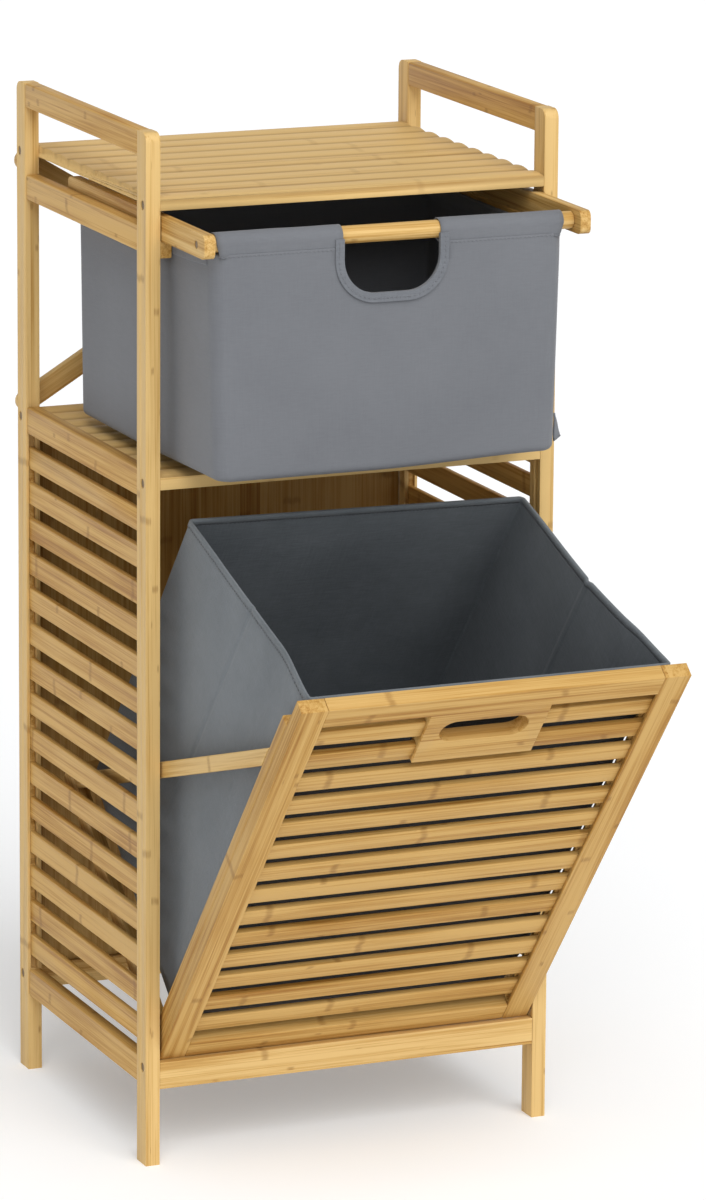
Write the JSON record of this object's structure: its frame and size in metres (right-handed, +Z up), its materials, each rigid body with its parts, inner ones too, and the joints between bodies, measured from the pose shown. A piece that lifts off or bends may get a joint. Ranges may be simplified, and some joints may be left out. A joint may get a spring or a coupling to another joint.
{
  "type": "laundry cabinet",
  "caption": "Slatted bamboo laundry cabinet with a tilt-out fabric hamper, a pull-out fabric drawer and a fluted top shelf between side handles.",
  "frame": {"origin": "on the floor, under the middle of the whole object as stored, with the drawer part open and the hamper open", "axes": "+X to the right seen from the front, +Y to the back, +Z up"},
  "size_m": [0.4, 0.6694, 0.953],
  "materials": {
    "bamboo": "satin",
    "back_board": "satin",
    "drawer_fabric": "matt",
    "hamper_fabric": "matt",
    "fastener": "satin"
  },
  "bodies": {
    "frame": {"left_front_top_bolt": "fastener", "right_front_top_bolt": "fastener", "left_front_mid_bolt": "fastener", "right_front_mid_bolt": "fastener", "left_front_bottom_bolt": "fastener", "right_front_bottom_bolt": "fastener", "left_rear_top_bolt": "fastener", "right_rear_top_bolt": "fastener", "left_rear_mid_bolt": "fastener", "right_rear_mid_bolt": "fastener", "left_rear_bottom_bolt": "fastener", "right_rear_bottom_bolt": "fastener", "left_front_post": "bamboo", "right_front_post": "bamboo", "left_rear_post": "bamboo", "right_rear_post": "bamboo", "left_handle_rail": "bamboo", "right_handle_rail": "bamboo", "left_upper_rail": "bamboo", "right_upper_rail": "bamboo", "left_mid_rail": "bamboo", "right_mid_rail": "bamboo", "left_bottom_rail": "bamboo", "right_bottom_rail": "bamboo", "left_side_slats": "bamboo", "right_side_slats": "bamboo", "top_shelf": "bamboo", "mid_shelf": "bamboo", "front_bottom_rail": "bamboo", "rear_bottom_rail": "bamboo", "back_panel": "back_board", "rising_brace_bar": "bamboo", "falling_brace_bar": "bamboo", "left_drawer_guide": "bamboo", "right_drawer_guide": "bamboo", "left_hinge_pin": "fastener", "right_hinge_pin": "fastener"},
    "drawer": {"left_runner": "bamboo", "right_runner": "bamboo", "left_runner_screw": "fastener", "right_runner_screw": "fastener", "front_dowel": "bamboo", "rear_dowel": "bamboo", "drawer_bag": "drawer_fabric"},
    "hamper": {"left_door_stile": "bamboo", "right_door_stile": "bamboo", "door_slats": "bamboo", "door_top_rail": "bamboo", "door_bottom_rail": "bamboo", "left_hamper_side_bar": "bamboo", "right_hamper_side_bar": "bamboo", "left_hamper_bottom_bar": "bamboo", "right_hamper_bottom_bar": "bamboo", "left_hamper_brace": "bamboo", "right_hamper_brace": "bamboo", "hamper_top_cross_bar": "bamboo", "hamper_front_cross_bar": "bamboo", "hamper_rear_cross_bar": "bamboo", "hamper_bag": "hamper_fabric"}
  },
  "joints": [
    {"name": "drawer_slide", "type": "slide", "parent": "frame", "child": "drawer", "axis": [0, -1, 0], "range_m": [-0.092, 0.11]},
    {"name": "hamper_tilt", "type": "hinge", "parent": "frame", "child": "hamper", "pos_m": [0, 0.00043, 0.11074], "axis": [1, 0, 0], "range_deg": [-39.5, 0]}
  ]
}
